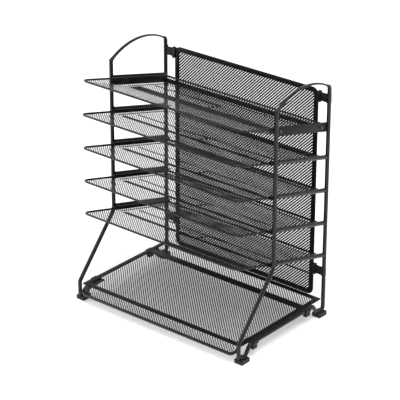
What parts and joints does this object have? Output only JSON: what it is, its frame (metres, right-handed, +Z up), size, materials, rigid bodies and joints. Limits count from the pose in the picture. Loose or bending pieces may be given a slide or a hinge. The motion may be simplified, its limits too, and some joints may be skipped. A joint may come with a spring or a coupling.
{
  "type": "desktop file sorter",
  "caption": "Free-standing desk sorter: bent black tube side frames with carrying arches, sloping mesh trays, a level bottom tray and a mesh back panel.",
  "frame": {"origin": "on the desk, under the middle of the whole object's bounding box", "axes": "+Z up, the front (the trays' mouths) is -Y, +X is to the right for someone facing the front"},
  "size_m": [0.3354, 0.2212, 0.4013],
  "materials": {
    "powder_coated_tube": "satin black powder coat, fine texture",
    "powder_coated_sheet": "satin black powder coat on pressed sheet",
    "expanded_mesh": "satin black powder coat on expanded steel mesh",
    "black_plastic": "moulded black plastic, fine grain",
    "screw": "blackened steel"
  },
  "bodies": {
    "frame": {"left_side_hoop": "powder_coated_tube", "left_foot_rail": "powder_coated_tube", "left_rung_2": "powder_coated_tube", "left_rung_3": "powder_coated_tube", "left_rung_4": "powder_coated_tube", "left_rung_5": "powder_coated_tube", "left_runner_2": "powder_coated_sheet", "left_runner_3": "powder_coated_sheet", "left_runner_4": "powder_coated_sheet", "left_runner_5": "powder_coated_sheet", "left_top_plate": "powder_coated_sheet", "left_front_plate_screw": "screw", "left_rear_plate_screw": "screw", "front_left_foot_cap": "black_plastic", "rear_left_foot_cap": "black_plastic", "upper_left_panel_clip": "black_plastic", "lower_left_panel_clip": "black_plastic", "front_left_rail_clip": "black_plastic", "rear_left_rail_clip": "black_plastic", "right_side_hoop": "powder_coated_tube", "right_foot_rail": "powder_coated_tube", "right_rung_2": "powder_coated_tube", "right_rung_3": "powder_coated_tube", "right_rung_4": "powder_coated_tube", "right_rung_5": "powder_coated_tube", "right_runner_2": "powder_coated_sheet", "right_runner_3": "powder_coated_sheet", "right_runner_4": "powder_coated_sheet", "right_runner_5": "powder_coated_sheet", "right_top_plate": "powder_coated_sheet", "right_front_plate_screw": "screw", "right_rear_plate_screw": "screw", "front_right_foot_cap": "black_plastic", "rear_right_foot_cap": "black_plastic", "upper_right_panel_clip": "black_plastic", "lower_right_panel_clip": "black_plastic", "front_right_rail_clip": "black_plastic", "rear_right_rail_clip": "black_plastic", "top_tray_rim_wire": "powder_coated_tube", "back_panel_cross_wire": "powder_coated_tube", "bottom_tray_lip_wire": "powder_coated_tube", "top_tray_mesh_basket": "expanded_mesh", "back_panel_mesh": "expanded_mesh", "bottom_tray_mesh": "expanded_mesh", "top_tray_stiffener": "powder_coated_sheet", "top_tray_collar": "powder_coated_sheet", "back_panel_border": "powder_coated_sheet", "bottom_tray_border": "powder_coated_sheet"},
    "tray_2": {"tray_2_rim_wire": "powder_coated_tube", "tray_2_mesh_basket": "expanded_mesh", "tray_2_stiffener": "powder_coated_sheet"},
    "tray_3": {"tray_3_rim_wire": "powder_coated_tube", "tray_3_mesh_basket": "expanded_mesh", "tray_3_stiffener": "powder_coated_sheet"},
    "tray_4": {"tray_4_rim_wire": "powder_coated_tube", "tray_4_mesh_basket": "expanded_mesh", "tray_4_stiffener": "powder_coated_sheet"},
    "tray_5": {"tray_5_rim_wire": "powder_coated_tube", "tray_5_mesh_basket": "expanded_mesh", "tray_5_stiffener": "powder_coated_sheet"}
  },
  "joints": [
    {"name": "tray_2_slide", "type": "slide", "parent": "frame", "child": "tray_2", "axis": [0, -0.9677, 0.2521], "range_m": [0, 0.09]},
    {"name": "tray_3_slide", "type": "slide", "parent": "frame", "child": "tray_3", "axis": [0, -0.9677, 0.2521], "range_m": [0, 0.09]},
    {"name": "tray_4_slide", "type": "slide", "parent": "frame", "child": "tray_4", "axis": [0, -0.9677, 0.2521], "range_m": [0, 0.09]},
    {"name": "tray_5_slide", "type": "slide", "parent": "frame", "child": "tray_5", "axis": [0, -0.9677, 0.2521], "range_m": [0, 0.09]}
  ]
}
